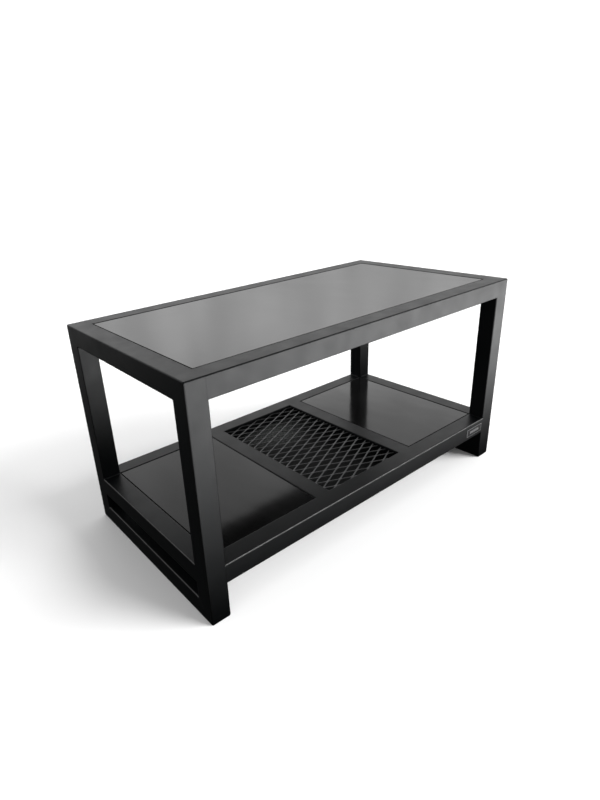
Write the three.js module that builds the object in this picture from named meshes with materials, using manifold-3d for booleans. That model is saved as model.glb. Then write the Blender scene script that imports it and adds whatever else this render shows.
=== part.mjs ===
// A low two-level table welded from square steel tube.
// The top has one drop-in panel. The shelf has a drop-in panel at each end and a bay of raised
// The top has one drop-in panel. The shelf has a drop-in panel at each end and a bay of raised
// expanded mesh between two crossbars, with a shallow pan below the mesh.
// Millimetres. +X is to the right along the front, +Y to the rear, +Z up. The origin is on the
// floor, below the middle of the table.

import * as THREE from 'three';
import { mergeVertices } from 'three/addons/utils/BufferGeometryUtils.js';
import Module from 'manifold-3d';

// Overall size
const LENGTH = 885;
const DEPTH = 455;
const HEIGHT = 464;
const SHELF_TOP = 114;
const MESH_BAY = 224;        // clear width between the two shelf crossbars

// Square tube
const TUBE = 40;
const WALL = 2;
const CORNER = 2.5;          // outer corner radius
const CORNER_STEPS = 3;
const MITRE_TRIM = 0.2;      // taken off each mitred end, which leaves the root gap of the weld

// Drop-in panels and what carries them
const PANEL_THICK = 6;
const PANEL_GAP = 1.5;       // open line all round each panel
const PANEL_RECESS = 0.7;    // panel face below the rails' top face
const PANEL_ROUND = 1.5;     // radius of a panel's upright corners
const PAD_RADIUS = 6;
const PAD_THICK = 2;
const PAD_SIDES = 16;
const TOP_PAD_SPREAD = 0.8;    // part of the way from the table's middle to the rails, along X
const SHELF_PAD_SPREAD = 0.75; // the same along Y, under the shelf panels
const BAR_PAD_SPREAD = 0.5;    // the same along Y, on the support bar
const ANGLE = 20;            // leg of the steel angle used for the ledges
const ANGLE_THICK = 3;
const BAR = 20;              // side of the square support bar
const BAR_WALL = 1.5;
const BAR_CORNER = 1;

// Raised expanded mesh
const MESH_LWD = 52;         // long way of the diamond, along X
const MESH_SWD = 23.7;       // short way of the diamond, along Y
const STRAND_WIDTH = 3.2;
const STRAND_THICK = 2;
const STRAND_TILT = THREE.MathUtils.degToRad(12);
const BOND = 5;              // length over which two strands are one
const MESH_RECESS = 4;       // highest point of the mesh below the rails' top face
const MESH_CLEAR = 0.3;      // gap between the cut strand ends and the bay's inner faces
const MESH_SHIFT = [19.5, 9.6]; // X and Y of one bond
const SAME_POINT = 1e-4;     // corners closer together than this are one corner

// Pan folded from sheet steel, which closes the bay below the mesh
const PAN_THICK = 1.5;
const PAN_BEND = 3;          // outer radius of its folds
const PAN_LIP = 18;          // height of the lip along each crossbar
const PAN_RISE = 4;          // its underside above the rails' underside

// Small parts
const BADGE_WIDTH = 62;
const BADGE_HEIGHT = 20;
const BADGE_THICK = 0.5;
const BADGE_ROUND = 1.5;
const BADGE_TO_LEG = 6;
const BADGE_BELOW_TOP = 21;  // the badge's middle below the shelf's top face

// Worked-out places
const TUBE_X = (LENGTH - TUBE) / 2;   // centre lines of the outer tubes
const TUBE_Y = (DEPTH - TUBE) / 2;
const INNER_X = LENGTH / 2 - TUBE;    // their inner faces
const INNER_Y = DEPTH / 2 - TUBE;
const CROSS_X = (MESH_BAY + TUBE) / 2;
const CROSS_OUTER_X = MESH_BAY / 2 + TUBE;
const STACK = PANEL_RECESS + PANEL_THICK + PAD_THICK; // from a rail's top down to its ledge
const BAY_X = (CROSS_OUTER_X + INNER_X) / 2;          // middle of a shelf panel
const LEVELS = [['top', HEIGHT], ['shelf', SHELF_TOP]];
const ROWS = [['front', -1], ['rear', 1]];
const SIDES = [['left', -1], ['right', 1]];

const X = new THREE.Vector3(1, 0, 0);
const Y = new THREE.Vector3(0, 1, 0);
const Z = new THREE.Vector3(0, 0, 1);

const steel = { color: 0x26282a, roughness: 0.45, metalness: 0.3 };
const board = { color: 0x2a2b2c, roughness: 0.22, metalness: 0 };
const meshPaint = { color: 0x303335, roughness: 0.5, metalness: 0.3 };
const rubber = { color: 0x111111, roughness: 0.9, metalness: 0 };
const badgeMetal = { color: 0x8a8c8e, roughness: 0.35, metalness: 0.9 };

const table = new THREE.Group();

// Adds a piece. Its section's own X and Y point along across and up, so an extrusion runs along
// across x up.
function place(name, geometry, finish, at, across = X, up = Y) {
  const mesh = new THREE.Mesh(geometry, new THREE.MeshStandardMaterial(finish));
  mesh.name = name;
  mesh.position.set(...at);
  const along = new THREE.Vector3().crossVectors(across, up);
  mesh.setRotationFromMatrix(new THREE.Matrix4().makeBasis(across, up, along));
  table.add(mesh);
}

function roundedRectangle(width, height, radius) {
  const x = width / 2 - radius;
  const y = height / 2 - radius;
  const outline = new THREE.Shape();
  outline.absarc(x, y, radius, 0, Math.PI / 2);
  outline.absarc(-x, y, radius, Math.PI / 2, Math.PI);
  outline.absarc(-x, -y, radius, Math.PI, 1.5 * Math.PI);
  outline.absarc(x, -y, radius, 1.5 * Math.PI, 2 * Math.PI);
  return outline;
}

function square(side) {
  const s = side / 2;
  const corners = [[-s, -s], [s, -s], [s, s], [-s, s]];
  return new THREE.Path(corners.map(([x, y]) => new THREE.Vector2(x, y)));
}

function extrude(section, depth) {
  return new THREE.ExtrudeGeometry(section, {
    depth,
    steps: 1,
    bevelEnabled: false,
    curveSegments: CORNER_STEPS,
  });
}

function tube(length, side, wall, radius) {
  const section = roundedRectangle(side, side, radius);
  section.holes.push(square(side - 2 * wall));
  return extrude(section, length);
}

// A frame tube with both ends mitred at 45 degrees. It has its full length on one side: that of
// its own +Y when longSide is 1, or of its own -Y when longSide is -1.
function mitredTube(length, longSide) {
  const geometry = tube(length, TUBE, WALL, CORNER);
  const position = geometry.attributes.position;
  for (let i = 0; i < position.count; i += 1) {
    const cut = TUBE / 2 - longSide * position.getY(i) + MITRE_TRIM;
    const atStart = position.getZ(i) < length / 2;
    position.setZ(i, atStart ? cut : length - cut);
  }
  return geometry;
}

function buttTube(length) {
  return tube(length, TUBE, WALL, CORNER);
}

// Each end of the table is a mitred rectangle of two legs, a top rail and a floor rail, with a
// shelf rail between its legs.
function addEndFrame(sideName, side) {
  const x = side * TUBE_X;
  const down = Z.clone().negate();
  for (const [rowName, row] of ROWS) {
    const leg = mitredTube(HEIGHT, row);
    place(`leg_${rowName}_${sideName}`, leg, steel, [x, row * TUBE_Y, 0]);
  }
  const topZ = HEIGHT - TUBE / 2;
  const floorZ = TUBE / 2;
  const shelfZ = SHELF_TOP - TUBE / 2;
  place(`top_rail_${sideName}`, mitredTube(DEPTH, -1), steel, [x, -DEPTH / 2, topZ], X, down);
  place(`floor_rail_${sideName}`, mitredTube(DEPTH, 1), steel, [x, -DEPTH / 2, floorZ], X, down);
  const shelfRail = buttTube(2 * INNER_Y);
  place(`shelf_rail_${sideName}`, shelfRail, steel, [x, -INNER_Y, shelfZ], X, down);
}

// The long rails butt between the end frames, at the top and at the shelf.
function addLongRails() {
  for (const [levelName, level] of LEVELS) {
    for (const [rowName, row] of ROWS) {
      const at = [-INNER_X, row * TUBE_Y, level - TUBE / 2];
      place(`${levelName}_rail_${rowName}`, buttTube(2 * INNER_X), steel, at, Y, Z);
    }
  }
}

function addCrossbars() {
  for (const [sideName, side] of SIDES) {
    const at = [side * CROSS_X, INNER_Y, SHELF_TOP - TUBE / 2];
    place(`shelf_crossbar_${sideName}`, buttTube(2 * INNER_Y), steel, at, X, Z);
  }
}

// Steel angle: one leg reaches from the rail's inner face under the panel, the other hangs down
// against that face. inward is the face's normal, and middle is the middle of the ledge's length.
function addLedge(name, middle, inward, length) {
  const outline = [
    [0, 0],
    [0, -ANGLE],
    [ANGLE_THICK, -ANGLE],
    [ANGLE_THICK, -ANGLE_THICK],
    [ANGLE, -ANGLE_THICK],
    [ANGLE, 0],
  ];
  const section = new THREE.Shape(outline.map(([x, y]) => new THREE.Vector2(x, y)));
  const along = new THREE.Vector3().crossVectors(inward, Z);
  const start = new THREE.Vector3(...middle).addScaledVector(along, -length / 2);
  place(name, extrude(section, length), steel, start.toArray(), inward, Z);
}

function addTopLedges() {
  const z = HEIGHT - STACK;
  for (const [rowName, row] of ROWS) {
    const inward = Y.clone().multiplyScalar(-row);
    addLedge(`top_ledge_${rowName}`, [0, row * INNER_Y, z], inward, 2 * INNER_X);
  }
  for (const [sideName, side] of SIDES) {
    const inward = X.clone().multiplyScalar(-side);
    addLedge(`top_ledge_${sideName}`, [side * INNER_X, 0, z], inward, 2 * (INNER_Y - ANGLE));
  }
}

function addShelfLedges() {
  const z = SHELF_TOP - STACK;
  const faces = [
    [-INNER_X, 1],
    [-CROSS_OUTER_X, -1],
    [CROSS_OUTER_X, 1],
    [INNER_X, -1],
  ];
  faces.forEach(([x, facing], i) => {
    const inward = X.clone().multiplyScalar(facing);
    addLedge(`shelf_ledge_${i + 1}`, [x, 0, z], inward, 2 * INNER_Y);
  });
}

function addSupportBar() {
  const length = 2 * (INNER_Y - ANGLE);
  const at = [0, length / 2, HEIGHT - STACK - BAR / 2];
  place('top_support_bar', tube(length, BAR, BAR_WALL, BAR_CORNER), steel, at, X, Z);
}

function addPads(prefix, spots, underside) {
  spots.forEach(([x, y], i) => {
    const pad = new THREE.CylinderGeometry(PAD_RADIUS, PAD_RADIUS, PAD_THICK, PAD_SIDES);
    pad.rotateX(Math.PI / 2);
    place(`${prefix}_pad_${i + 1}`, pad, rubber, [x, y, underside - PAD_THICK / 2]);
  });
}

// A panel with a pad under each corner, and more pads at the extra spots.
function addPanel(name, prefix, middleX, clearX, level, padX, padY, extraPads) {
  const width = clearX - 2 * PANEL_GAP;
  const depth = 2 * (INNER_Y - PANEL_GAP);
  const underside = level - PANEL_RECESS - PANEL_THICK;
  const sheet = extrude(roundedRectangle(width, depth, PANEL_ROUND), PANEL_THICK);
  place(name, sheet, board, [middleX, 0, underside]);
  const corners = [[-1, -1], [1, -1], [1, 1], [-1, 1]];
  const spots = corners.map(([sx, sy]) => [middleX + sx * padX, sy * padY]);
  addPads(prefix, spots.concat(extraPads), underside);
}

function addPanels() {
  const onLedge = INNER_Y - ANGLE / 2;
  const onBar = INNER_Y * BAR_PAD_SPREAD;
  const topPadX = INNER_X * TOP_PAD_SPREAD;
  const topExtra = [[0, -onBar], [0, onBar]];
  addPanel('top_panel', 'top', 0, 2 * INNER_X, HEIGHT, topPadX, onLedge, topExtra);
  const clear = INNER_X - CROSS_OUTER_X;
  const padX = (clear - ANGLE) / 2;
  const padY = INNER_Y * SHELF_PAD_SPREAD;
  for (const [sideName, side] of SIDES) {
    const name = `shelf_panel_${sideName}`;
    addPanel(name, sideName, side * BAY_X, clear, SHELF_TOP, padX, padY, []);
  }
}

// One strand of the mesh zigzags along X between two rows of bonds. Its flat is tilted up towards
// the front, so it dips where it is bonded in front and rises where it is bonded behind. Strand j
// has bond row j - 1 in front of it and bond row j behind it. Returns the middles of its
// cross-sections.
function strandMiddles(j, columns) {
  const reach = STRAND_WIDTH * Math.cos(STRAND_TILT) / 2;
  const rise = STRAND_WIDTH * Math.sin(STRAND_TILT) / 2;
  const middles = [];
  for (let m = -columns; m <= columns; m += 1) {
    const behind = (m + j) % 2 === 0;
    const row = behind ? j : j - 1;
    const x = MESH_SHIFT[0] + m * MESH_LWD / 2;
    const y = MESH_SHIFT[1] + row * MESH_SWD / 2 + (behind ? -reach : reach);
    const z = behind ? rise : -rise;
    middles.push({ at: new THREE.Vector3(x - BOND / 2, y, z), behind });
    middles.push({ at: new THREE.Vector3(x + BOND / 2, y, z), behind });
  }
  return middles;
}

// The corners of a strand's cross-section: lower front, upper front, upper rear, lower rear.
function strandCorners(at) {
  const c = Math.cos(STRAND_TILT);
  const s = Math.sin(STRAND_TILT);
  const halfWidth = new THREE.Vector3(0, c, -s).multiplyScalar(STRAND_WIDTH / 2);
  const halfThick = new THREE.Vector3(0, s, c).multiplyScalar(STRAND_THICK / 2);
  return [[-1, -1], [-1, 1], [1, 1], [1, -1]].map(([w, t]) => at.clone()
    .addScaledVector(halfWidth, w)
    .addScaledVector(halfThick, t));
}

// The whole expanded sheet, larger than its bay. Where two strands are bonded, the faces that
// would lie between them are left out, so the sheet is one body.
function expandedSheet(rows, columns) {
  const triangles = [];
  const quad = (a, b, c, d) => triangles.push(a, b, c, a, c, d);
  for (let j = -rows; j <= rows; j += 1) {
    const sections = strandMiddles(j, columns).map(({ at, behind }) => ({
      corners: strandCorners(at),
      behind,
    }));
    const last = sections.length - 1;
    for (let i = 0; i < last; i += 1) {
      const [a0, b0, c0, d0] = sections[i].corners;
      const [a1, b1, c1, d1] = sections[i + 1].corners;
      const onBond = i % 2 === 0;
      const bondBehind = onBond && sections[i].behind && j < rows;
      const bondInFront = onBond && !sections[i].behind && j > -rows;
      quad(a0, d0, d1, a1);
      quad(b0, b1, c1, c0);
      if (!bondInFront) quad(a0, a1, b1, b0);
      if (!bondBehind) quad(d0, c0, c1, d1);
    }
    quad(...sections[0].corners);
    quad(...sections[last].corners.toReversed());
  }
  const geometry = new THREE.BufferGeometry();
  geometry.setFromPoints(triangles);
  return geometry;
}

const wasm = await Module();
wasm.setup();

function toSolid(geometry) {
  const bare = new THREE.BufferGeometry();
  bare.setAttribute('position', geometry.attributes.position);
  bare.setIndex(geometry.index);
  const merged = mergeVertices(bare, SAME_POINT);
  return new wasm.Manifold(new wasm.Mesh({
    numProp: 3,
    vertProperties: merged.attributes.position.array,
    triVerts: Uint32Array.from(merged.index.array),
  }));
}

function toGeometry(solid) {
  const { vertProperties, triVerts } = solid.getMesh();
  const geometry = new THREE.BufferGeometry();
  geometry.setAttribute('position', new THREE.BufferAttribute(vertProperties, 3));
  geometry.setIndex(new THREE.BufferAttribute(triVerts, 1));
  geometry.computeVertexNormals();
  return geometry;
}

// The sheet is sheared to the size of its bay, through whatever strands the cut meets. A strand end
// that the cut leaves loose falls away, so only the largest body is kept.
function addMesh() {
  const rows = Math.ceil(2 * INNER_Y / MESH_SWD) + 2;
  const columns = Math.ceil(MESH_BAY / MESH_LWD) + 2;
  const width = MESH_BAY - 2 * MESH_CLEAR;
  const depth = 2 * (INNER_Y - MESH_CLEAR);
  const cut = toSolid(new THREE.BoxGeometry(width, depth, TUBE));
  const bodies = toSolid(expandedSheet(rows, columns)).intersect(cut).decompose();
  const trimmed = bodies.reduce((a, b) => (b.volume() > a.volume() ? b : a));
  const rise = STRAND_WIDTH * Math.sin(STRAND_TILT);
  const halfHeight = rise + STRAND_THICK * Math.cos(STRAND_TILT) / 2;
  const z = SHELF_TOP - MESH_RECESS - halfHeight;
  place('mesh_grille', toGeometry(trimmed), meshPaint, [0, 0, z]);
}

// A wide channel between the crossbars. Its open ends butt against the long rails.
function addPan() {
  const edge = MESH_BAY / 2;
  const fold = edge - PAN_BEND;
  const inner = PAN_BEND - PAN_THICK;
  const section = new THREE.Shape();
  section.moveTo(-edge, PAN_LIP);
  section.absarc(-fold, PAN_BEND, PAN_BEND, Math.PI, 1.5 * Math.PI);
  section.absarc(fold, PAN_BEND, PAN_BEND, 1.5 * Math.PI, 2 * Math.PI);
  section.lineTo(edge, PAN_LIP);
  section.lineTo(edge - PAN_THICK, PAN_LIP);
  section.absarc(fold, PAN_BEND, inner, 2 * Math.PI, 1.5 * Math.PI, true);
  section.absarc(-fold, PAN_BEND, inner, 1.5 * Math.PI, Math.PI, true);
  section.lineTo(-edge + PAN_THICK, PAN_LIP);
  const at = [0, INNER_Y, SHELF_TOP - TUBE + PAN_RISE];
  place('mesh_pan', extrude(section, 2 * INNER_Y), steel, at, X, Z);
}

function addBadge() {
  const x = INNER_X - BADGE_TO_LEG - BADGE_WIDTH / 2;
  const plate = extrude(roundedRectangle(BADGE_WIDTH, BADGE_HEIGHT, BADGE_ROUND), BADGE_THICK);
  const at = [x, -DEPTH / 2, SHELF_TOP - BADGE_BELOW_TOP];
  place('badge_plate', plate, badgeMetal, at, X, Z);
}

for (const [sideName, side] of SIDES) addEndFrame(sideName, side);
addLongRails();
addCrossbars();
addTopLedges();
addShelfLedges();
addSupportBar();
addPanels();
addMesh();
addPan();
addBadge();

export default table;
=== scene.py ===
"""A low two-level table of black square steel tube, with three drop-in panels and a mesh bay.

Every length is in metres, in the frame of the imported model: +X right along the front, +Y to the
rear, +Z up, with the origin on the floor below the middle of the table.
"""

import math
import random

import bmesh
import bpy
from mathutils import Matrix, Vector


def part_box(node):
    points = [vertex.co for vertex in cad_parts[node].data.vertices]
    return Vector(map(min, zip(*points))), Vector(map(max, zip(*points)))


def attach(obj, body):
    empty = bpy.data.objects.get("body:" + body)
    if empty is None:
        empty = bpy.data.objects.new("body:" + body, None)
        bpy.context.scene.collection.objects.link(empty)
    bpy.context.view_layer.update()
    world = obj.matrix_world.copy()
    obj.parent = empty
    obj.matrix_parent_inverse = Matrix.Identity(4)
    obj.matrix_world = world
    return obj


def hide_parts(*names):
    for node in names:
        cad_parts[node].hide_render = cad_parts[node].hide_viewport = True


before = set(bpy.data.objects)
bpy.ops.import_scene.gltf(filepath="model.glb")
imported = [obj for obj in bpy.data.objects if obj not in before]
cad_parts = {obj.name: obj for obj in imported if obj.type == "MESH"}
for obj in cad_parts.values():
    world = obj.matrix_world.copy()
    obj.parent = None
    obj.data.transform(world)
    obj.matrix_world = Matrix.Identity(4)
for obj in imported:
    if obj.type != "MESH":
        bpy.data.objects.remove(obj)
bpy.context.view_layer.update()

MM = 0.001
SEED = 7
FLAT_WEIGHT = 90
SMOOTH_ANGLE = 35            # degrees; sharper edges are shaded as edges
ROUND_STEPS = 3
SAME_PLACE = 0.001 * MM
NOISE_MIDDLE = (0.25, 0.75)

# Tube and its edges
TUBE = 40 * MM
EDGE = 2.4 * MM              # outer corner radius of the tube
EDGE_STEPS = 4
TUCK = 2.4 * MM              # how far a butted rail runs into its neighbour's rounded edge
HAIR = 0.02 * MM             # a rail's faces lie this far inside its neighbours'
ROUNDING = 1.01              # slack for points that lie just outside an edge's rounding

# Weld beads in the inner corners
BEAD = 2.6 * MM
BEAD_STEP = 1.3 * MM
BEAD_RIPPLE = 0.10
BEAD_RIPPLE_TURN = 2.1       # radians of ripple from one station to the next
BEAD_UNEVEN = 0.04
BEAD_SHARP = 60              # degrees
BEAD_SUNK = 0.15 * BEAD      # how far it reaches into the faces it joins
BEAD_TAPER = 1.6 * BEAD      # length over which it thins towards an end
BEAD_END = 0.25              # share of its size left at an end
BEAD_WIDE = 0.86             # the section's side points, along one face and out from it
BEAD_LOW = 0.30
BEAD_CROWN = 0.58

# Ledges of steel angle, and the support bar
ANGLE_LEG = 20 * MM
ANGLE_THICK = 3 * MM
ANGLE_ROOT = 2.2 * MM
ANGLE_TOE = 1.0 * MM
BAR_EDGE = 1.6 * MM

# Panels and pads
PANEL_ARRIS = 0.5 * MM
PANEL_ROUND = 1.5 * MM
LEAST_ROUND = 0.2 * MM
PAD_RIM = 0.5 * MM
PAD_DISH = 0.15 * MM
PAD_DISH_SHARE = 0.55        # of the pad's radius
PAD_CHAMFER = 0.2 * MM
PAD_SIDES = 28

# Expanded mesh, as in the CAD source
MESH_LWD = 52 * MM
MESH_SWD = 23.7 * MM
STRAND_WIDTH = 3.2 * MM
STRAND_THICK = 2 * MM
STRAND_TILT = math.radians(12)
BOND = 5 * MM
MESH_SHIFT = (19.5 * MM, 9.6 * MM)
STRAND_ROUND = 0.35 * MM
STRAND_STEPS = 5             # stations along each slanting stretch of a strand
STRAND_EASE = 0.18           # how much each stretch curves into its bonds
STRAND_WANDER = 0.12 * MM    # unevenness of the slit sheet
STRAND_SHARP = 50            # degrees

# Pan below the mesh
PAN_THICK = 1.5 * MM
PAN_BEND = 3 * MM
DUST_MIDDLE = (0.02, 0.16, 0.08)
DUST_REACH = 0.13

# Badge
BADGE_ROUND = 1.5 * MM
BADGE_EDGE = 0.15 * MM       # chamfer round its face
BADGE_RIM = 0.9 * MM
BADGE_RIM_ROUND = 0.8 * MM
BADGE_SINK = 0.18 * MM
BADGE_DRAFT = 0.05 * MM      # how far the sunk field's sides lean in
BADGE_SHARP = 30             # degrees
MARK_COUNT = 7
MARK_SPAN = 0.62             # of the badge's width
MARK_PITCH = 1.45            # in widths of one mark
MARK_HEIGHT = 0.30           # of the badge's height
MARK_ROUND = 0.5 * MM
MARK_SHOULDER = 0.08 * MM    # below the badge's face
MARK_FACE = 0.05 * MM
MARK_ROOT = 0.02 * MM        # below the sunk field
MARK_BEVEL = 0.06 * MM

# Camera
CAMERA_PLACE = (-0.79109, -0.86254, 0.74585)
CAMERA_RIGHT = (0.77487, -0.62980, -0.05417)
CAMERA_UP = (0.28958, 0.27750, 0.91605)
CAMERA_AHEAD = (0.56189, 0.72550, -0.39740)
CAMERA_LENS = 24.379
CAMERA_SHIFT = (0.0452, -0.0050)
CAMERA_SENSOR = 36
CAMERA_CLIP_END = 60

# Floor, and the surroundings' brightness by elevation and by bearing. Angles are in degrees.
# A bearing goes from 0, away from SKY_HEADING, to 1, towards it.
FLOOR_REACH = 30.0
FLOOR_WHITE = (0.9, 0.9, 0.9, 1)
BACKDROP_STRENGTH = 1.2
SKY_STRENGTH = 1.45
SKY_HEADING = 35
SKY_BY_ELEVATION = [(-90, 0.03), (-32, 0.03), (-22, 0.08), (-15, 0.26), (-7, 0.30), (0, 0.12),
                    (5, 0.24), (10, 0.53), (15, 0.82), (20, 1.0), (26, 0.60), (33, 0.58),
                    (40, 0.38), (50, 0.24), (60, 0.24), (90, 0.34)]
SKY_BY_BEARING = [(0.0, 0.22), (0.30, 0.30), (0.48, 0.55), (0.68, 0.90), (0.85, 1.0),
                  (1.0, 1.0)]
GROUND_BY_BEARING = [(0.0, 0.10), (0.30, 0.12), (0.50, 0.17), (0.60, 0.55), (0.85, 1.0),
                     (1.0, 1.0)]
HORIZON_BLEND = (-0.06, 0.04)  # heights between which ground turns into sky
STREAK_SCALE = 14
STREAK_STRETCH = 0.25          # of the scale, upwards
STREAK_SPREAD = (0.35, 0.65)   # noise values at the full depth, down and up
STREAK_DEPTH = 0.13

# Both lights fall on the floor only. The key is a soft sun from the front right, and the fill
# an even light from above.
KEY_HEADING = -49
KEY_HEIGHT = 18
KEY_ANGLE = 42
KEY_STRENGTH = 7.0
FILL_ANGLE = 170
FILL_STRENGTH = 1.4

# Bright ground in front, hidden from the camera: its brightness by Y, and a factor on it by X
GLOW_WIDE = 3.2
GLOW_NEAR = -0.23
GLOW_FAR = -3.2
GLOW_LEVEL = -0.004
GLOW_BY_Y = [(GLOW_NEAR, 0.03), (-0.30, 0.14), (-0.40, 0.58), (-0.55, 1.6), (-0.75, 3.35),
             (-1.0, 4.9), (-1.3, 5.3), (GLOW_FAR, 5.3)]
GLOW_BY_X = [(-GLOW_WIDE, 0.80), (-0.2, 0.85), (0.3, 1.28), (1.3, 1.25), (2.0, 0.98),
             (GLOW_WIDE, 0.9)]

X = Vector((1, 0, 0))
Y = Vector((0, 1, 0))
Z = Vector((0, 0, 1))

# Rails whose upper outer edge gets a painted highlight, and the way that edge faces
PAINTED_HIGHLIGHT_RAILS = {"shelf_rail_front": -Y, "shelf_rail_rear": Y,
                "shelf_rail_left": -X, "shelf_rail_right": X}
# light grey painted onto those edges as a highlight
PAINTED_HIGHLIGHT_GREY = (0.85, 0.85, 0.85)
PAINTED_HIGHLIGHT_SHARPNESS = 5           # how closely the painted highlight keeps to an edge's crest
SIDE_PAINTED_HIGHLIGHT = 0.5              # the end rails get a fainter painted highlight than the long ones

scene = bpy.context.scene


# ---------------------------------------------------------------- mesh helpers

def piece(name, mesh, body, material, nodes=()):
    """Makes an object of a mesh, rides it on a body and lets it stand for CAD nodes."""
    thing = bpy.data.objects.new(name, mesh)
    scene.collection.objects.link(thing)
    mesh.materials.append(material)
    keep_flats_flat(thing)
    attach(thing, body)
    if nodes:
        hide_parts(*nodes)
    return thing


def keep_flats_flat(thing):
    """Shades each flat as flat, and puts the whole turn of the surface on its rounded edges."""
    weighted = thing.modifiers.new("weighted_normals", "WEIGHTED_NORMAL")
    weighted.mode = "FACE_AREA"
    weighted.weight = FLAT_WEIGHT
    weighted.keep_sharp = True


def finish_mesh(bm, name, smooth_angle=SMOOTH_ANGLE):
    """Turns a bmesh into a mesh that is smooth but for its sharp edges."""
    bmesh.ops.recalc_face_normals(bm, faces=bm.faces)
    mesh = bpy.data.meshes.new(name)
    bm.to_mesh(mesh)
    bm.free()
    for polygon in mesh.polygons:
        polygon.use_smooth = True
    mesh.set_sharp_from_angle(angle=math.radians(smooth_angle))
    return mesh


def quarter(cx, cy, radius, start, steps, turn=90):
    """Points along a quarter of a circle, from the start angle on. A turn of -90 is clockwise."""
    points = []
    for i in range(steps + 1):
        a = math.radians(start + turn * i / steps)
        points.append((cx + radius * math.cos(a), cy + radius * math.sin(a)))
    return points


def rounded_outline(width, height, radius, steps):
    """The corners of a rounded rectangle about (0, 0), anticlockwise."""
    points = []
    for sx, sy, start in ((1, 1, 0), (-1, 1, 90), (-1, -1, 180), (1, -1, 270)):
        cx = sx * (width / 2 - radius)
        cy = sy * (height / 2 - radius)
        points += quarter(cx, cy, radius, start, steps)
    return points


def skin(bm, rings):
    """Joins rings of points, each with the same count, into one closed surface."""
    loops = [[bm.verts.new(p) for p in ring] for ring in rings]
    count = len(loops[0])
    for a, b in zip(loops, loops[1:]):
        for i in range(count):
            j = (i + 1) % count
            bm.faces.new((a[i], a[j], b[j], b[i]))
    bm.faces.new(loops[0][::-1])
    bm.faces.new(loops[-1])


def extruded(outline, start, end, across, up):
    """A straight bar of one section from start to end, with its ends flat."""
    bm = bmesh.new()
    skin(bm, [[at + across * u + up * v for u, v in outline] for at in (start, end)])
    return bm


def middle_of(lo, hi):
    return (lo + hi) / 2


# ---------------------------------------------------------------- materials

def grey_ramp(tree, value, stops):
    """A ramp of greys; each stop is (position, grey)."""
    node = tree.nodes.new("ShaderNodeValToRGB")
    ramp = node.color_ramp
    while len(ramp.elements) < len(stops):
        ramp.elements.new(0.5)
    for element, (position, grey) in zip(ramp.elements, stops):
        element.position = position
        element.color = (grey, grey, grey, 1)
    tree.links.new(value, node.inputs["Fac"])
    return node.outputs["Color"]


class Nodes:
    """A short way to build a material's node tree."""

    def __init__(self, name):
        self.material = bpy.data.materials.new(name)
        self.material.use_nodes = True
        self.tree = self.material.node_tree
        self.shader = self.tree.nodes["Principled BSDF"]
        self.place = self.add("ShaderNodeTexCoord").outputs["Object"]

    def add(self, kind, **settings):
        node = self.tree.nodes.new(kind)
        for key, value in settings.items():
            setattr(node, key, value)
        return node

    def link(self, output, target):
        self.tree.links.new(output, target)

    def scaled(self, scale):
        """The place on the object, scaled along each axis."""
        node = self.add("ShaderNodeMapping")
        node.inputs["Scale"].default_value = scale
        self.link(self.place, node.inputs["Vector"])
        return node.outputs["Vector"]

    def noise(self, scale, detail=2.0, roughness=0.5, stretch=(1, 1, 1)):
        node = self.add("ShaderNodeTexNoise")
        node.inputs["Scale"].default_value = scale
        node.inputs["Detail"].default_value = detail
        node.inputs["Roughness"].default_value = roughness
        self.link(self.scaled(stretch), node.inputs["Vector"])
        return node.outputs["Fac"]

    def ramp(self, value, stops):
        return grey_ramp(self.tree, value, stops)

    def remap(self, value, low, high):
        """Takes the middle half of a noise's values to between low and high."""
        node = self.add("ShaderNodeMapRange")
        node.inputs["From Min"].default_value = NOISE_MIDDLE[0]
        node.inputs["From Max"].default_value = NOISE_MIDDLE[1]
        node.inputs["To Min"].default_value = low
        node.inputs["To Max"].default_value = high
        self.link(value, node.inputs["Value"])
        return node.outputs["Result"]

    def bump(self, height, distance, strength=1.0, below=None):
        node = self.add("ShaderNodeBump")
        node.inputs["Strength"].default_value = strength
        node.inputs["Distance"].default_value = distance
        self.link(height, node.inputs["Height"])
        if below is not None:
            self.link(below, node.inputs["Normal"])
        return node.outputs["Normal"]

    def mix(self, share, a, b):
        """a where share is 0, b where it is 1. a and b are colours or outputs."""
        node = self.add("ShaderNodeMix", data_type="RGBA")
        self.link(share, node.inputs["Factor"])
        for index, value in ((6, a), (7, b)):
            if isinstance(value, tuple):
                node.inputs[index].default_value = (*value, 1)
            else:
                self.link(value, node.inputs[index])
        return node.outputs[2]

    def times(self, a, b):
        node = self.add("ShaderNodeMath", operation="MULTIPLY")
        self.link(a, node.inputs[0])
        self.link(b, node.inputs[1])
        return node.outputs[0]

    def set(self, socket, value):
        """Sets one of the shader's own sockets to a constant or an output."""
        target = self.shader.inputs[socket]
        if isinstance(value, bpy.types.NodeSocket):
            self.link(value, target)
        else:
            target.default_value = value


def soft_step(n, value, low, high):
    """0 below low, 1 above high, smooth between."""
    node = n.add("ShaderNodeMapRange", interpolation_type="SMOOTHSTEP")
    node.inputs["From Min"].default_value = low
    node.inputs["From Max"].default_value = high
    n.link(value, node.inputs["Value"])
    return node.outputs["Result"]


def painted_edge_highlight(n, coat):
    """A painted highlight: the coat turned light grey, in patches, along the edges that the mesh's
    highlight attribute marks.
    """
    painted_highlight_mask = n.add("ShaderNodeAttribute", attribute_name="painted_highlight_mask").outputs["Fac"]
    patchy = n.remap(n.noise(60, detail=4, roughness=0.7), 0.45, 1.0)
    return n.mix(n.times(painted_highlight_mask, patchy), coat, PAINTED_HIGHLIGHT_GREY)


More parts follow.
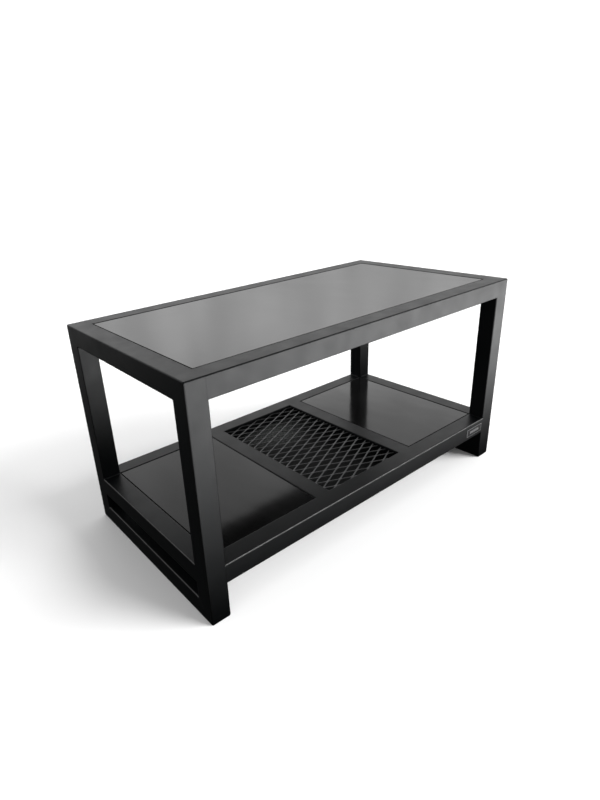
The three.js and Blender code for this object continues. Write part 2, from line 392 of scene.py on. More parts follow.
def powder_coat(name, dark, light, rough_low, rough_high, grain, depth, ior):
    """Satin black powder coat: an orange-peel skin with a fine grain and faint cloudy patches."""
    n = Nodes(name)
    clouds = n.noise(9, detail=3)
    specks = n.noise(620, detail=2, roughness=0.6)
    base = n.mix(clouds, dark, light)
    dusty = n.ramp(specks, [(0.62, 0.0), (0.78, 1.0)])
    coat = n.mix(dusty, base, tuple(c * 1.7 for c in light))
    # The base colour carries a painted highlight along the marked edges.
    n.set("Base Color", painted_edge_highlight(n, coat))
    n.set("Roughness", n.remap(n.noise(26, detail=4), rough_low, rough_high))
    fine = n.bump(n.noise(grain, detail=3, roughness=0.65), depth, 0.55)
    n.set("Normal", n.bump(n.noise(grain * 0.22, detail=2), depth * 2.2, 0.35, fine))
    n.set("IOR", ior)
    return n.material


def panel_board():
    """Smooth black laminate: an even gloss with wiped streaks, faint smudges and fine specks."""
    n = Nodes("panel_laminate")
    streaks = n.noise(14, detail=4, roughness=0.6, stretch=(0.35, 2.4, 1))
    smudges = n.noise(5.5, detail=3, roughness=0.55)
    specks = n.noise(900, detail=1)
    base = n.mix(smudges, (0.0052, 0.0054, 0.0056), (0.0084, 0.0086, 0.0088))
    haze = n.ramp(n.noise(3.2, detail=5, roughness=0.6), [(0.42, 0.0), (0.70, 1.0)])
    base = n.mix(haze, base, (0.030, 0.030, 0.031))
    dust = n.ramp(specks, [(0.68, 0.0), (0.80, 1.0)])
    n.set("Base Color", n.mix(dust, base, (0.036, 0.036, 0.037)))
    wiped = n.mix(streaks, (0.07,) * 3, (0.16,) * 3)
    n.set("Roughness", n.mix(smudges, wiped, (0.13,) * 3))
    fine = n.bump(n.noise(260, detail=2), 0.01 * MM, 0.35)
    waves = n.noise(8, detail=2, stretch=(1.5, 0.7, 1))
    n.set("Normal", n.bump(waves, 0.6 * MM, 1.0, fine))
    n.set("IOR", 1.5)
    return n.material


def pad_rubber():
    """Matte black rubber with a moulded grain and dusty high spots."""
    n = Nodes("pad_rubber")
    grain = n.noise(480, detail=3, roughness=0.7)
    n.set("Base Color", n.mix(grain, (0.010,) * 3, (0.030,) * 3))
    n.set("Roughness", n.remap(grain, 0.72, 0.95))
    n.set("Normal", n.bump(grain, 0.08 * MM, 0.8))
    return n.material


def dusty_pan():
    """Black powder coat under ash dust, which lies thickest in a loose, gritty drift."""
    n = Nodes("pan_dusty_coat")
    grit = n.noise(420, detail=2, roughness=0.6)
    drift = n.noise(9, detail=3, roughness=0.55)
    away = n.add("ShaderNodeVectorMath", operation="DISTANCE")
    away.inputs[1].default_value = DUST_MIDDLE
    n.link(n.place, away.inputs[0])
    near = soft_step(n, away.outputs["Value"], DUST_REACH, 0.0)
    share = n.times(near, n.ramp(grit, [(0.40, 0.15), (0.62, 1.0)]))
    base = n.mix(drift, (0.006, 0.007, 0.007), (0.016, 0.017, 0.017))
    n.set("Base Color", n.mix(share, base, (0.50, 0.52, 0.51)))
    n.set("Roughness", n.remap(grit, 0.55, 0.8))
    n.set("Normal", n.bump(grit, 0.3 * MM, 0.7))
    n.set("IOR", 1.4)
    return n.material


def badge_rim_metal():
    """Bare brushed aluminium, scuffed."""
    n = Nodes("badge_rim_metal")
    brushed = n.noise(900, detail=2, stretch=(0.05, 1, 1.6))
    n.set("Base Color", n.mix(brushed, (0.38, 0.38, 0.39), (0.56, 0.56, 0.57)))
    n.set("Metallic", 0.35)
    n.set("Roughness", n.remap(brushed, 0.36, 0.52))
    n.set("Normal", n.bump(brushed, 0.01 * MM, 0.4))
    return n.material


def badge_field_ink():
    """The dark printed field of the badge, with a slight grain."""
    n = Nodes("badge_field_ink")
    grain = n.noise(700, detail=2)
    n.set("Base Color", n.mix(grain, (0.020,) * 3, (0.034,) * 3))
    n.set("Roughness", n.remap(grain, 0.35, 0.5))
    n.set("Normal", n.bump(grain, 0.01 * MM, 0.5))
    return n.material


FRAME_COAT = powder_coat(
    "frame_powder_coat", (0.0045, 0.0058, 0.0070), (0.0075, 0.0090, 0.0104),
    0.33, 0.43, 1500, 0.03 * MM, 1.4)
LEDGE_COAT = powder_coat(
    "ledge_powder_coat", (0.0070, 0.0072, 0.0075), (0.0105, 0.0108, 0.0112),
    0.42, 0.55, 1300, 0.04 * MM, 1.4)
# The mesh's black coat is painted much lighter than the frame's, as painted light for the
# brightness its strands catch.
MESH_COAT_PAINTED_LIGHTER = powder_coat(
    "mesh_powder_coat_painted_lighter", (0.084, 0.086, 0.088), (0.110, 0.113, 0.115),
    0.32, 0.44, 1700, 0.03 * MM, 1.55)
LAMINATE = panel_board()
PAN_COAT = dusty_pan()
RUBBER = pad_rubber()
BADGE_BARE = badge_rim_metal()
BADGE_INK = badge_field_ink()


# ---------------------------------------------------------------- frame tubes

def mark_painted_highlight(mesh, corner, outward, reach, amount=1.0):
    """Marks one long rounded edge for a painted highlight, strongest along its crest. corner is
    where its flats would meet, in X and Z or in Y and Z; outward is the way it faces sideways, +X,
    -X, +Y or -Y."""
    painted_highlight_mask = mesh.attributes.get("painted_highlight_mask") or mesh.attributes.new("painted_highlight_mask", "FLOAT", "POINT")
    centre = corner - (outward + Z) * EDGE
    for vertex, mark in zip(mesh.vertices, painted_highlight_mask.data):
        away = vertex.co - centre
        side = away.dot(outward) / EDGE
        top = away.z / EDGE
        on_edge = 0 < side <= ROUNDING and 0 < top <= ROUNDING
        if on_edge and abs(away.dot(outward.cross(Z))) < reach:
            mark.value = amount * min(1.0, 2 * side * top) ** PAINTED_HIGHLIGHT_SHARPNESS


def end_ring(x, half_y, low_z, high_z):
    """One end of the table as a whole: a rounded rectangle of tube, standing in Y and Z."""
    bm = bmesh.new()
    inner_y = half_y - TUBE
    outer = [(-half_y, low_z), (half_y, low_z), (half_y, high_z), (-half_y, high_z)]
    inner = [(-inner_y, low_z + TUBE), (inner_y, low_z + TUBE),
             (inner_y, high_z - TUBE), (-inner_y, high_z - TUBE)]
    loops = []
    for side in (-1, 1):
        for corners in (outer, inner):
            loops.append([bm.verts.new((x + side * TUBE / 2, y, z)) for y, z in corners])
    near_out, near_in, far_out, far_in = loops
    for i in range(4):
        j = (i + 1) % 4
        bm.faces.new((near_out[i], near_out[j], near_in[j], near_in[i]))
        bm.faces.new((far_out[i], far_in[i], far_in[j], far_out[j]))
        bm.faces.new((near_out[i], far_out[i], far_out[j], near_out[j]))
        bm.faces.new((near_in[i], near_in[j], far_in[j], far_in[i]))
    bmesh.ops.recalc_face_normals(bm, faces=bm.faces)
    bmesh.ops.bevel(bm, geom=bm.edges[:], offset=EDGE, segments=EDGE_STEPS, profile=0.5,
                    affect="EDGES", clamp_overlap=True)
    return bm


def cut_half(bm, point, outward):
    """Cuts away what lies on the outward side of a plane, and closes the cut."""
    geometry = bm.verts[:] + bm.edges[:] + bm.faces[:]
    cut = bmesh.ops.bisect_plane(bm, geom=geometry, plane_co=point, plane_no=outward,
                                 clear_outer=True)
    edges = [e for e in cut["geom_cut"] if isinstance(e, bmesh.types.BMEdge)]
    bmesh.ops.holes_fill(bm, edges=edges, sides=0)


def build_end_frame(side_name, x, half_y, low_z, high_z):
    """Cuts the ring at its four mitres into two legs, a top rail and a floor rail."""
    front_low = Vector((x, -half_y, low_z))
    rear_low = Vector((x, half_y, low_z))
    front_high = Vector((x, -half_y, high_z))
    rear_high = Vector((x, half_y, high_z))
    members = {
        f"leg_front_{side_name}": [(front_low, Y - Z), (front_high, Y + Z)],
        f"leg_rear_{side_name}": [(rear_low, -Y - Z), (rear_high, Z - Y)],
        f"top_rail_{side_name}": [(front_high, -Y - Z), (rear_high, Y - Z)],
        f"floor_rail_{side_name}": [(front_low, Z - Y), (rear_low, Y + Z)],
    }
    for name, cuts in members.items():
        bm = end_ring(x, half_y, low_z, high_z)
        for corner, outward in cuts:
            cut_half(bm, corner, outward)
        mesh = finish_mesh(bm, name)
        # The floor rail's top outer edge gets a fainter painted highlight.
        if name.startswith("floor_rail"):
            outward = X if x > 0 else -X
            top_edge = Vector((x, 0, low_z + TUBE)) + outward * (TUBE / 2)
            mark_painted_highlight(mesh, top_edge, outward, half_y, SIDE_PAINTED_HIGHLIGHT)
        piece(f"{name}_tube", mesh, "frame", FRAME_COAT, [name])


def build_end_frames():
    for side_name in ("left", "right"):
        lo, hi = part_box(f"floor_rail_{side_name}")
        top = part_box(f"top_rail_{side_name}")[1]
        build_end_frame(side_name, (lo.x + hi.x) / 2, hi.y, lo.z, top.z)


def build_rail(node, along):
    """A rail butted between two tubes. Its ends run into their rounded edges, so no line shows."""
    lo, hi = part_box(node)
    middle = middle_of(lo, hi)
    half = (hi - lo).dot(along) / 2 + TUCK
    across = Y if along == X else X
    side = TUBE - 2 * HAIR
    outline = rounded_outline(side, side, EDGE, EDGE_STEPS)
    bm = extruded(outline, middle - along * half, middle + along * half, across, Z)
    mesh = finish_mesh(bm, node)
    # A shelf rail's top outer edge gets a painted highlight.
    if node in PAINTED_HIGHLIGHT_RAILS:
        outward = PAINTED_HIGHLIGHT_RAILS[node]
        amount = 1.0 if along == X else SIDE_PAINTED_HIGHLIGHT
        mark_painted_highlight(mesh, middle + (outward + Z) * (side / 2), outward, half + TUCK, amount)
    piece(f"{node}_tube", mesh, "frame", FRAME_COAT, [node])


def build_rails():
    for node in ("top_rail_front", "top_rail_rear", "shelf_rail_front", "shelf_rail_rear"):
        build_rail(node, X)
    for node in ("shelf_rail_left", "shelf_rail_right",
                 "shelf_crossbar_left", "shelf_crossbar_right"):
        build_rail(node, Y)


# ---------------------------------------------------------------- weld beads

def bead(bm, start, end, face_a, face_b, draw):
    """A small rippled weld in the inner corner of two faces, whose normals are given."""
    length = (end - start).length
    count = max(4, round(length / BEAD_STEP))
    phase = draw.uniform(0, math.tau)
    rings = []
    for i in range(count + 1):
        t = i / count
        taper = min(1.0, min(t, 1 - t) * length / BEAD_TAPER + BEAD_END)
        wave = BEAD_RIPPLE * math.sin(i * BEAD_RIPPLE_TURN + phase)
        ripple = 1 + wave + draw.uniform(-BEAD_UNEVEN, BEAD_UNEVEN)
        leg = BEAD * taper * ripple
        root = start.lerp(end, t)
        rings.append([
            root - (face_a + face_b) * BEAD_SUNK,
            root + face_b * leg - face_a * BEAD_SUNK,
            root + face_b * leg * BEAD_WIDE + face_a * leg * BEAD_LOW,
            root + (face_a + face_b) * (leg * BEAD_CROWN),
            root + face_b * leg * BEAD_LOW + face_a * leg * BEAD_WIDE,
            root + face_a * leg - face_b * BEAD_SUNK,
        ])
    skin(bm, rings)


def rail_end_beads(bm, node, along, draw):
    """Beads at both ends of a rail, where it meets the face of the tube it butts against: below
    it, and above it too if it is a shelf rail."""
    lo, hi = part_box(node)
    across = Y if along == X else X
    middle = middle_of(lo, hi)
    half = (hi - lo) / 2
    half_along = half.dot(along)
    half_across = half.dot(across)
    for end in (-1, 1):
        plane = middle + along * (end * half_along)
        inward = along * -end
        for level in (-1, 1) if node.startswith("shelf") else (-1,):
            line = plane + Z * (level * half.z)
            reach = across * (half_across - EDGE)
            bead(bm, line - reach, line + reach, inward, Z * level, draw)


def build_welds():
    draw = random.Random(SEED)
    rails = [("top_rail_front", X), ("top_rail_rear", X),
             ("shelf_rail_front", X), ("shelf_rail_rear", X),
             ("shelf_rail_left", Y), ("shelf_rail_right", Y)]
    for node, along in rails:
        bm = bmesh.new()
        rail_end_beads(bm, node, along, draw)
        mesh = finish_mesh(bm, f"welds_{node}", BEAD_SHARP)
        piece(f"welds_{node}", mesh, "frame", FRAME_COAT)


# ---------------------------------------------------------------- ledges and support bar

def angle_outline():
    """Rolled steel angle: round root fillet, rounded toes. Corner at (0, 0), legs along +u, -v."""
    leg = ANGLE_LEG
    thick = ANGLE_THICK
    root = ANGLE_ROOT
    toe = ANGLE_TOE
    points = [(0.0, 0.0), (0.0, -leg)]
    points += quarter(thick - toe, -leg + toe, toe, -90, ROUND_STEPS)
    points += quarter(thick + root, -thick - root, root, 180, ROUND_STEPS, -90)
    points += quarter(leg - toe, -thick + toe, toe, -90, ROUND_STEPS)
    points.append((leg, 0.0))
    return points


def build_ledge(node, inward):
    lo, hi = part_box(node)
    along = inward.cross(Z)
    middle = middle_of(lo, hi)
    half = abs((hi - lo).dot(along)) / 2
    corner = Vector(middle)
    corner.z = hi.z
    size = hi - lo
    corner -= inward * (abs(size.dot(inward)) / 2)
    start = corner - along * half
    end = corner + along * half
    mesh = finish_mesh(extruded(angle_outline(), start, end, inward, Z), node)
    piece(f"{node}_angle", mesh, "frame", LEDGE_COAT, [node])


def build_ledges():
    build_ledge("top_ledge_front", Y)
    build_ledge("top_ledge_rear", -Y)
    build_ledge("top_ledge_left", X)
    build_ledge("top_ledge_right", -X)
    for number, inward in ((1, X), (2, -X), (3, X), (4, -X)):
        build_ledge(f"shelf_ledge_{number}", inward)


def build_support_bar():
    lo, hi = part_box("top_support_bar")
    middle = middle_of(lo, hi)
    half = (hi.y - lo.y) / 2
    side = hi.x - lo.x
    outline = rounded_outline(side, side, BAR_EDGE, EDGE_STEPS)
    bm = extruded(outline, middle - Y * half, middle + Y * half, X, Z)
    mesh = finish_mesh(bm, "top_support_bar")
    piece("top_support_bar_tube", mesh, "frame", LEDGE_COAT, ["top_support_bar"])


# ---------------------------------------------------------------- panels and pads

def slab(lo, hi):
    """A flat board with round upright corners and a softly rounded arris top and bottom."""
    size = hi - lo
    middle = middle_of(lo, hi)
    bottom = []
    for i in range(ROUND_STEPS, -1, -1):
        a = math.radians(90 * i / ROUND_STEPS)
        bottom.append((lo.z + PANEL_ARRIS * (1 - math.sin(a)), PANEL_ARRIS * (1 - math.cos(a))))
    top = [(hi.z - (z - lo.z), inset) for z, inset in reversed(bottom)]
    rings = []
    for z, inset in bottom + top:
        radius = max(PANEL_ROUND - inset, LEAST_ROUND)
        outline = rounded_outline(size.x - 2 * inset, size.y - 2 * inset, radius, EDGE_STEPS)
        rings.append([Vector((middle.x + u, middle.y + v, z)) for u, v in outline])
    bm = bmesh.new()
    skin(bm, rings)
    return bm


def build_panels():
    for node, body in (("top_panel", "top_panel_body"),
                       ("shelf_panel_left", "left_panel_body"),
                       ("shelf_panel_right", "right_panel_body")):
        lo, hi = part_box(node)
        mesh = finish_mesh(slab(lo, hi), node)
        piece(f"{node}_board", mesh, body, LAMINATE, [node])


def build_pad(node, body):
    """A round rubber pad with a rounded rim and a shallow dished underside."""
    lo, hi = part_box(node)
    middle = middle_of(lo, hi)
    radius = (hi.x - lo.x) / 2
    profile = [(radius * PAD_DISH_SHARE, lo.z + PAD_DISH), (radius - PAD_RIM, lo.z)]
    profile += quarter(radius - PAD_RIM, lo.z + PAD_RIM, PAD_RIM, -90, ROUND_STEPS)[1:]
    profile.append((radius, hi.z - PAD_CHAMFER))
    profile.append((radius - PAD_CHAMFER, hi.z))
    turns = [math.tau * k / PAD_SIDES for k in range(PAD_SIDES)]
    rings = []
    for r, z in profile:
        rings.append([Vector((middle.x + r * math.cos(a), middle.y + r * math.sin(a), z))
                      for a in turns])
    bm = bmesh.new()
    skin(bm, rings)
    mesh = finish_mesh(bm, node)
    piece(f"{node}_disc", mesh, body, RUBBER, [node])


def build_pads():
    for prefix, body, count in (("top", "top_panel_body", 6), ("left", "left_panel_body", 4),
                                ("right", "right_panel_body", 4)):
        for number in range(1, count + 1):
            build_pad(f"{prefix}_pad_{number}", body)


# ---------------------------------------------------------------- expanded mesh

def strand_stations(j, columns, draw):
    """Middles of one strand's cross-sections, from bond to bond. Its bonds lie by turns in front
    of it and behind it."""
    reach = STRAND_WIDTH * math.cos(STRAND_TILT) / 2
    rise = STRAND_WIDTH * math.sin(STRAND_TILT) / 2
    corners = []
    for m in range(-columns, columns + 1):
        behind = (m + j) % 2 == 0
        row = j if behind else j - 1
        x = MESH_SHIFT[0] + m * MESH_LWD / 2
        y = MESH_SHIFT[1] + row * MESH_SWD / 2 + (-reach if behind else reach)
        z = rise if behind else -rise
        corners.append(Vector((x - BOND / 2, y, z)))
        corners.append(Vector((x + BOND / 2, y, z)))
    stations = [corners[0]]
    for at, onward in zip(corners[1::2], corners[2::2]):
        stations.append(at)
        for k in range(1, STRAND_STEPS):
            t = k / STRAND_STEPS
            eased = t * t * (3 - 2 * t) * STRAND_EASE + t * (1 - STRAND_EASE)
            point = Vector((at.x + (onward.x - at.x) * t,
                            at.y + (onward.y - at.y) * eased,
                            at.z + (onward.z - at.z) * eased))
            swell = math.sin(math.pi * t)
            point.y += draw.uniform(-1, 1) * STRAND_WANDER * swell
            point.z += draw.uniform(-1, 1) * STRAND_WANDER * 0.5 * swell
            stations.append(point)
        stations.append(onward)
    stations.append(corners[-1])
    return stations


def strand_section(at):
    """A strand's cross-section with its four long edges eased."""
    c = math.cos(STRAND_TILT)
    s = math.sin(STRAND_TILT)
    wide = Vector((0, c, -s))
    thick = Vector((0, s, c))
    outline = rounded_outline(STRAND_WIDTH, STRAND_THICK, STRAND_ROUND, 2)
    return [at + wide * u + thick * v for u, v in outline]


def build_mesh():
    """The expanded sheet, cut to its bay. Neighbouring strands overlap a hair at their bonds."""
    lo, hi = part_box("mesh_grille")
    middle_z = (lo.z + hi.z) / 2
    rows = math.ceil((hi.y - lo.y) / MESH_SWD) + 2
    columns = math.ceil((hi.x - lo.x) / MESH_LWD) + 2
    draw = random.Random(SEED + 1)
    bm = bmesh.new()
    for j in range(-rows, rows + 1):
        stations = strand_stations(j, columns, draw)
        skin(bm, [strand_section(at + Z * middle_z) for at in stations])
    bmesh.ops.recalc_face_normals(bm, faces=bm.faces)
    for point, outward in ((lo, -X), (lo, -Y), (hi, X), (hi, Y)):
        cut_half(bm, point, outward)
    mesh = finish_mesh(bm, "mesh_grille", STRAND_SHARP)
    piece("mesh_grille_strands", mesh, "frame", MESH_COAT_PAINTED_LIGHTER, ["mesh_grille"])


def pan_outline(half_width, height):
    """A folded channel, open upwards, with its underside on v = 0."""
    fold = half_width - PAN_BEND
    inner = PAN_BEND - PAN_THICK
    points = [(-half_width, height)]
    points += quarter(-fold, PAN_BEND, PAN_BEND, 180, EDGE_STEPS)
    points += quarter(fold, PAN_BEND, PAN_BEND, 270, EDGE_STEPS)
    points += [(half_width, height), (half_width - PAN_THICK, height)]
    points += quarter(fold, PAN_BEND, inner, 360, EDGE_STEPS, -90)
    points += quarter(-fold, PAN_BEND, inner, 270, EDGE_STEPS, -90)
    points.append((PAN_THICK - half_width, height))
    return points


def build_pan():
    """The folded pan that closes the bay below the mesh."""
    lo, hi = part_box("mesh_pan")
    outline = pan_outline((hi.x - lo.x) / 2, hi.z - lo.z)
    start = Vector((0, hi.y, lo.z))
    end = Vector((0, lo.y, lo.z))
    mesh = finish_mesh(extruded(outline, start, end, X, Z), "mesh_pan")
    piece("mesh_pan_sheet", mesh, "frame", PAN_COAT, ["mesh_pan"])


# ---------------------------------------------------------------- badge

def build_badge():
    """A thin plate with a raised bare rim, a dark field and a row of plain raised blocks."""
    lo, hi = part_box("badge_plate")
    size = hi - lo
    middle = middle_of(lo, hi)
    back = hi.y
    front = lo.y
    field = front + BADGE_SINK
    levels = [
        (back, 0, BADGE_ROUND),
        (front + BADGE_EDGE, 0, BADGE_ROUND),
        (front, BADGE_EDGE, BADGE_ROUND - BADGE_EDGE),
        (front, BADGE_RIM, BADGE_RIM_ROUND),
        (field, BADGE_RIM + BADGE_DRAFT, BADGE_RIM_ROUND - BADGE_DRAFT),
    ]
    rings = []
    for y, inset, radius in levels:
        outline = rounded_outline(size.x - 2 * inset, size.z - 2 * inset, radius, EDGE_STEPS)
        rings.append([(middle.x + u, y, middle.z + v) for u, v in outline])
    bm = bmesh.new()
    skin(bm, rings)
    mesh = finish_mesh(bm, "badge_plate", BADGE_SHARP)
    piece("badge_plate_rim", mesh, "frame", BADGE_BARE, ["badge_plate"])
    mesh.materials.append(BADGE_INK)
    for polygon in mesh.polygons:
        if all(abs(mesh.vertices[i].co.y - field) < SAME_PLACE for i in polygon.vertices):
            polygon.material_index = 1
    build_badge_marks(middle, size, front)


def build_badge_marks(middle, size, front):
    """Plain blocks of equal size where the real badge is printed. They spell nothing."""
    bm = bmesh.new()
    span = size.x * MARK_SPAN
    width = span / (MARK_COUNT * MARK_PITCH)
    height = size.z * MARK_HEIGHT
    levels = [(BADGE_SINK + MARK_ROOT, 0.0), (MARK_SHOULDER, 0.0), (MARK_FACE, MARK_BEVEL)]
    for k in range(MARK_COUNT):
        x = middle.x + span * ((k + 0.5) / MARK_COUNT - 0.5)
        rings = []
        for depth, inset in levels:
            outline = rounded_outline(width - 2 * inset, height - 2 * inset, MARK_ROUND,
                                      ROUND_STEPS)
            rings.append([(x + u, front + depth, middle.z + v) for u, v in outline])
        skin(bm, rings)
    mesh = finish_mesh(bm, "badge_marks", BADGE_SHARP)
    piece("badge_marks", mesh, "frame", BADGE_BARE)


# ---------------------------------------------------------------- camera, floor and light

def build_camera():
    data = bpy.data.cameras.new("camera")
    camera = bpy.data.objects.new("camera", data)
    scene.collection.objects.link(camera)
    right = Vector(CAMERA_RIGHT)
    up = Vector(CAMERA_UP)
    back = -Vector(CAMERA_AHEAD)
    turned = Matrix((right, up, back)).transposed().to_4x4()
    camera.matrix_world = Matrix.Translation(CAMERA_PLACE) @ turned
    data.sensor_width = CAMERA_SENSOR
    data.lens = CAMERA_LENS
    data.shift_x, data.shift_y = CAMERA_SHIFT
    data.clip_end = CAMERA_CLIP_END
    scene.camera = camera


def plane_mesh(name, corners):
    bm = bmesh.new()
    bm.faces.new([bm.verts.new(c) for c in corners])
    mesh = bpy.data.meshes.new(name)
    bm.to_mesh(mesh)
    bm.free()
    return mesh


def hidden_from(thing, camera=False, glossy=False, diffuse=False, shadow=False):
    thing.visible_camera = not camera
    thing.visible_glossy = not glossy
    thing.visible_diffuse = not diffuse
    thing.visible_shadow = not shadow


def add_stage(name, mesh, material):
    thing = bpy.data.objects.new(name, mesh)
    scene.collection.objects.link(thing)
    mesh.materials.append(material)
    return thing


def white_floor():
    """Matte white all over."""
    n = Nodes("floor_white")
    n.set("Base Color", FLOOR_WHITE)
    n.set("Roughness", 1.0)
    n.set("Specular IOR Level", 0.0)
    return n.material


def build_floor():
    s = FLOOR_REACH
    mesh = plane_mesh("floor", [(-s, -s, 0), (s, -s, 0), (s, s, 0), (-s, s, 0)])
    floor = add_stage("floor", mesh, white_floor())
    hidden_from(floor, glossy=True, diffuse=True)
    return floor


def level_curve(tree, value, stops):
    """A smooth curve through the stops, each (position from 0 to 1, level)."""
    node = tree.nodes.new("ShaderNodeFloatCurve")
    curve = node.mapping.curves[0]
    peak = max(level for _, level in stops)
    curve.points[0].location = (stops[0][0], stops[0][1] / peak)
    curve.points[1].location = (stops[-1][0], stops[-1][1] / peak)
    for position, level in stops[1:-1]:
        curve.points.new(position, level / peak)
    node.mapping.update()
    scale = tree.nodes.new("ShaderNodeMath")
    scale.operation = "MULTIPLY"
    scale.inputs[1].default_value = peak
    tree.links.new(value, node.inputs["Value"])
    tree.links.new(node.outputs["Value"], scale.inputs[0])
    return scale.outputs[0]


def glow_card(name, corners, radiance, shares):
    """A light card that the camera doesn't see. radiance is its brightness along its first edge,
    and shares is a factor on that along the other edge."""
    mesh = plane_mesh(name, corners)
    uv = mesh.uv_layers.new(name="uv")
    for loop, place in zip(uv.data, ((0, 0), (1, 0), (1, 1), (0, 1))):
        loop.uv = place
    material = bpy.data.materials.new(name)
    material.use_nodes = True
    tree = material.node_tree
    tree.nodes.clear()
    out = tree.nodes.new("ShaderNodeOutputMaterial")
    emit = tree.nodes.new("ShaderNodeEmission")
    split = tree.nodes.new("ShaderNodeSeparateXYZ")
    uv_node = tree.nodes.new("ShaderNodeTexCoord")
    tree.links.new(uv_node.outputs["UV"], split.inputs[0])
    along = level_curve(tree, split.outputs["X"], radiance)
    across = level_curve(tree, split.outputs["Y"], shares)
    product = tree.nodes.new("ShaderNodeMath")
    product.operation = "MULTIPLY"
    tree.links.new(along, product.inputs[0])
    tree.links.new(across, product.inputs[1])
    tree.links.new(product.outputs[0], emit.inputs["Strength"])
    tree.links.new(emit.outputs[0], out.inputs["Surface"])
    hidden_from(add_stage(name, mesh, material), camera=True, shadow=True)


def world_range(tree, value, ends, to_ends=(0, 1)):
    """The value taken from between one pair of ends to between another."""
    node = tree.nodes.new("ShaderNodeMapRange")
    node.inputs["From Min"].default_value = ends[0]
    node.inputs["From Max"].default_value = ends[1]
    node.inputs["To Min"].default_value = to_ends[0]
    node.inputs["To Max"].default_value = to_ends[1]
    tree.links.new(value, node.inputs["Value"])
    return node.outputs["Result"]


def world_vector(tree, operation, place, by):
    node = tree.nodes.new("ShaderNodeVectorMath")
    node.operation = operation
    node.inputs[1].default_value = by
    tree.links.new(place, node.inputs[0])
    return node


def world_mix(tree, blend, factor, a, b):
    """factor is a number or an output."""
    node = tree.nodes.new("ShaderNodeMix")
    node.data_type = "RGBA"
    node.blend_type = blend
    if isinstance(factor, float):
        node.inputs["Factor"].default_value = factor
    else:
        tree.links.new(factor, node.inputs["Factor"])
    tree.links.new(a, node.inputs[6])
    tree.links.new(b, node.inputs[7])
    return node.outputs[2]


def sky_colour(tree, place):
    """The surroundings' brightness by elevation, times its share by bearing."""
    split = tree.nodes.new("ShaderNodeSeparateXYZ")
    tree.links.new(place, split.inputs[0])
    rise = split.outputs["Z"]
    stops = [((math.sin(math.radians(el)) + 1) / 2, grey) for el, grey in SKY_BY_ELEVATION]
    height = grey_ramp(tree, world_range(tree, rise, (-1, 1)), stops)
    heading = math.radians(SKY_HEADING)
    ahead = (math.cos(heading), math.sin(heading), 0)
    toward = world_vector(tree, "DOT_PRODUCT", place, ahead).outputs["Value"]
    bearing = world_range(tree, toward, (-1, 1))
    above = grey_ramp(tree, bearing, SKY_BY_BEARING)
    below = grey_ramp(tree, bearing, GROUND_BY_BEARING)
    side = world_mix(tree, "MIX", world_range(tree, rise, HORIZON_BLEND), below, above)
    return world_mix(tree, "MULTIPLY", 1.0, height, side)


def sky_strength(tree, place):
    """A little uneven, in soft upright streaks."""
    streaks = tree.nodes.new("ShaderNodeTexNoise")
    streaks.inputs["Scale"].default_value = STREAK_SCALE
    upright = world_vector(tree, "MULTIPLY", place, (1, 1, STREAK_STRETCH)).outputs["Vector"]
    tree.links.new(upright, streaks.inputs["Vector"])
    ends = (SKY_STRENGTH * (1 - STREAK_DEPTH), SKY_STRENGTH * (1 + STREAK_DEPTH))
    return world_range(tree, streaks.outputs["Fac"], STREAK_SPREAD, ends)


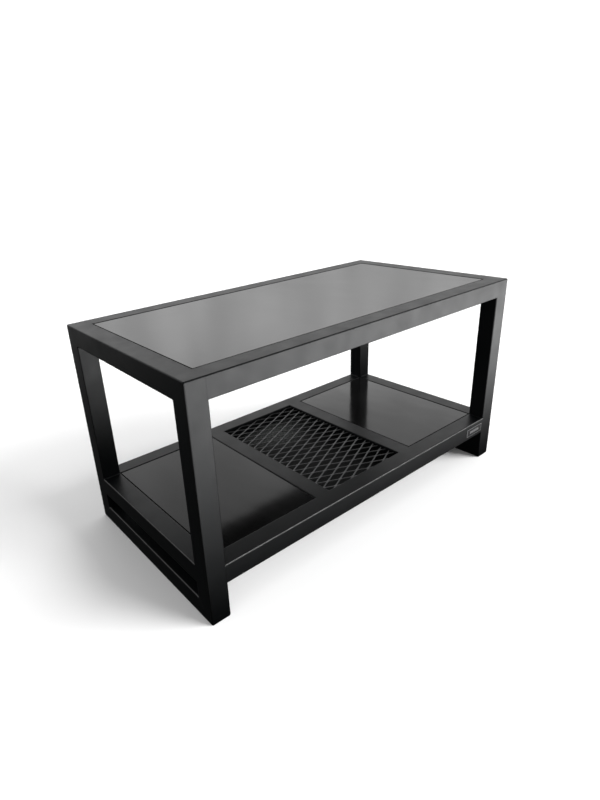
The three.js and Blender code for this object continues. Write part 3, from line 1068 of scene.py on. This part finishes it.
def build_world():
    """White to the camera. To the object, a sky that is bright low at the rear and right."""
    world = bpy.data.worlds.new("studio")
    scene.world = world
    world.use_nodes = True
    tree = world.node_tree
    tree.nodes.clear()
    out = tree.nodes.new("ShaderNodeOutputWorld")
    sky = tree.nodes.new("ShaderNodeBackground")
    white = tree.nodes.new("ShaderNodeBackground")
    pick = tree.nodes.new("ShaderNodeMixShader")
    path = tree.nodes.new("ShaderNodeLightPath")
    white.inputs["Color"].default_value = (1, 1, 1, 1)
    white.inputs["Strength"].default_value = BACKDROP_STRENGTH
    tree.links.new(path.outputs["Is Camera Ray"], pick.inputs["Fac"])
    tree.links.new(sky.outputs[0], pick.inputs[1])
    tree.links.new(white.outputs[0], pick.inputs[2])
    tree.links.new(pick.outputs[0], out.inputs["Surface"])
    place = tree.nodes.new("ShaderNodeTexCoord").outputs["Generated"]
    tree.links.new(sky_colour(tree, place), sky.inputs["Color"])
    tree.links.new(sky_strength(tree, place), sky.inputs["Strength"])


def build_key():
    """A soft sun, low at the front right."""
    data = bpy.data.lights.new("key", "SUN")
    data.energy = KEY_STRENGTH
    data.angle = math.radians(KEY_ANGLE)
    key = bpy.data.objects.new("key", data)
    scene.collection.objects.link(key)
    heading = math.radians(KEY_HEADING)
    height = math.radians(KEY_HEIGHT)
    toward = Vector((math.cos(heading) * math.cos(height),
                     math.sin(heading) * math.cos(height), math.sin(height)))
    key.rotation_mode = "QUATERNION"
    key.rotation_quaternion = toward.to_track_quat("Z", "Y")
    return key


def build_floor_fill():
    """An even light from above."""
    data = bpy.data.lights.new("floor_fill", "SUN")
    data.energy = FILL_STRENGTH
    data.angle = math.radians(FILL_ANGLE)
    fill = bpy.data.objects.new("floor_fill", data)
    scene.collection.objects.link(fill)
    return fill


def link_light(light, receiver):
    """The light falls on this object only."""
    group = bpy.data.collections.new(f"{light.name}_lit")
    group.objects.link(receiver)
    light.light_linking.receiver_collection = group


def build_cards():
    """The bright ground in front."""
    ground = [((y - GLOW_NEAR) / (GLOW_FAR - GLOW_NEAR), level) for y, level in GLOW_BY_Y]
    across = [((x + GLOW_WIDE) / (2 * GLOW_WIDE), share) for x, share in GLOW_BY_X]
    corners = [(-GLOW_WIDE, GLOW_NEAR), (-GLOW_WIDE, GLOW_FAR), (GLOW_WIDE, GLOW_FAR),
               (GLOW_WIDE, GLOW_NEAR)]
    glow_card("front_ground_glow", [(x, y, GLOW_LEVEL) for x, y in corners], ground, across)


build_camera()
build_end_frames()
build_rails()
build_welds()
build_ledges()
build_support_bar()
build_panels()
build_pads()
build_mesh()
build_pan()
build_badge()

floor = build_floor()
build_world()
link_light(build_key(), floor)
link_light(build_floor_fill(), floor)
build_cards()
scene.view_settings.view_transform = "Standard"
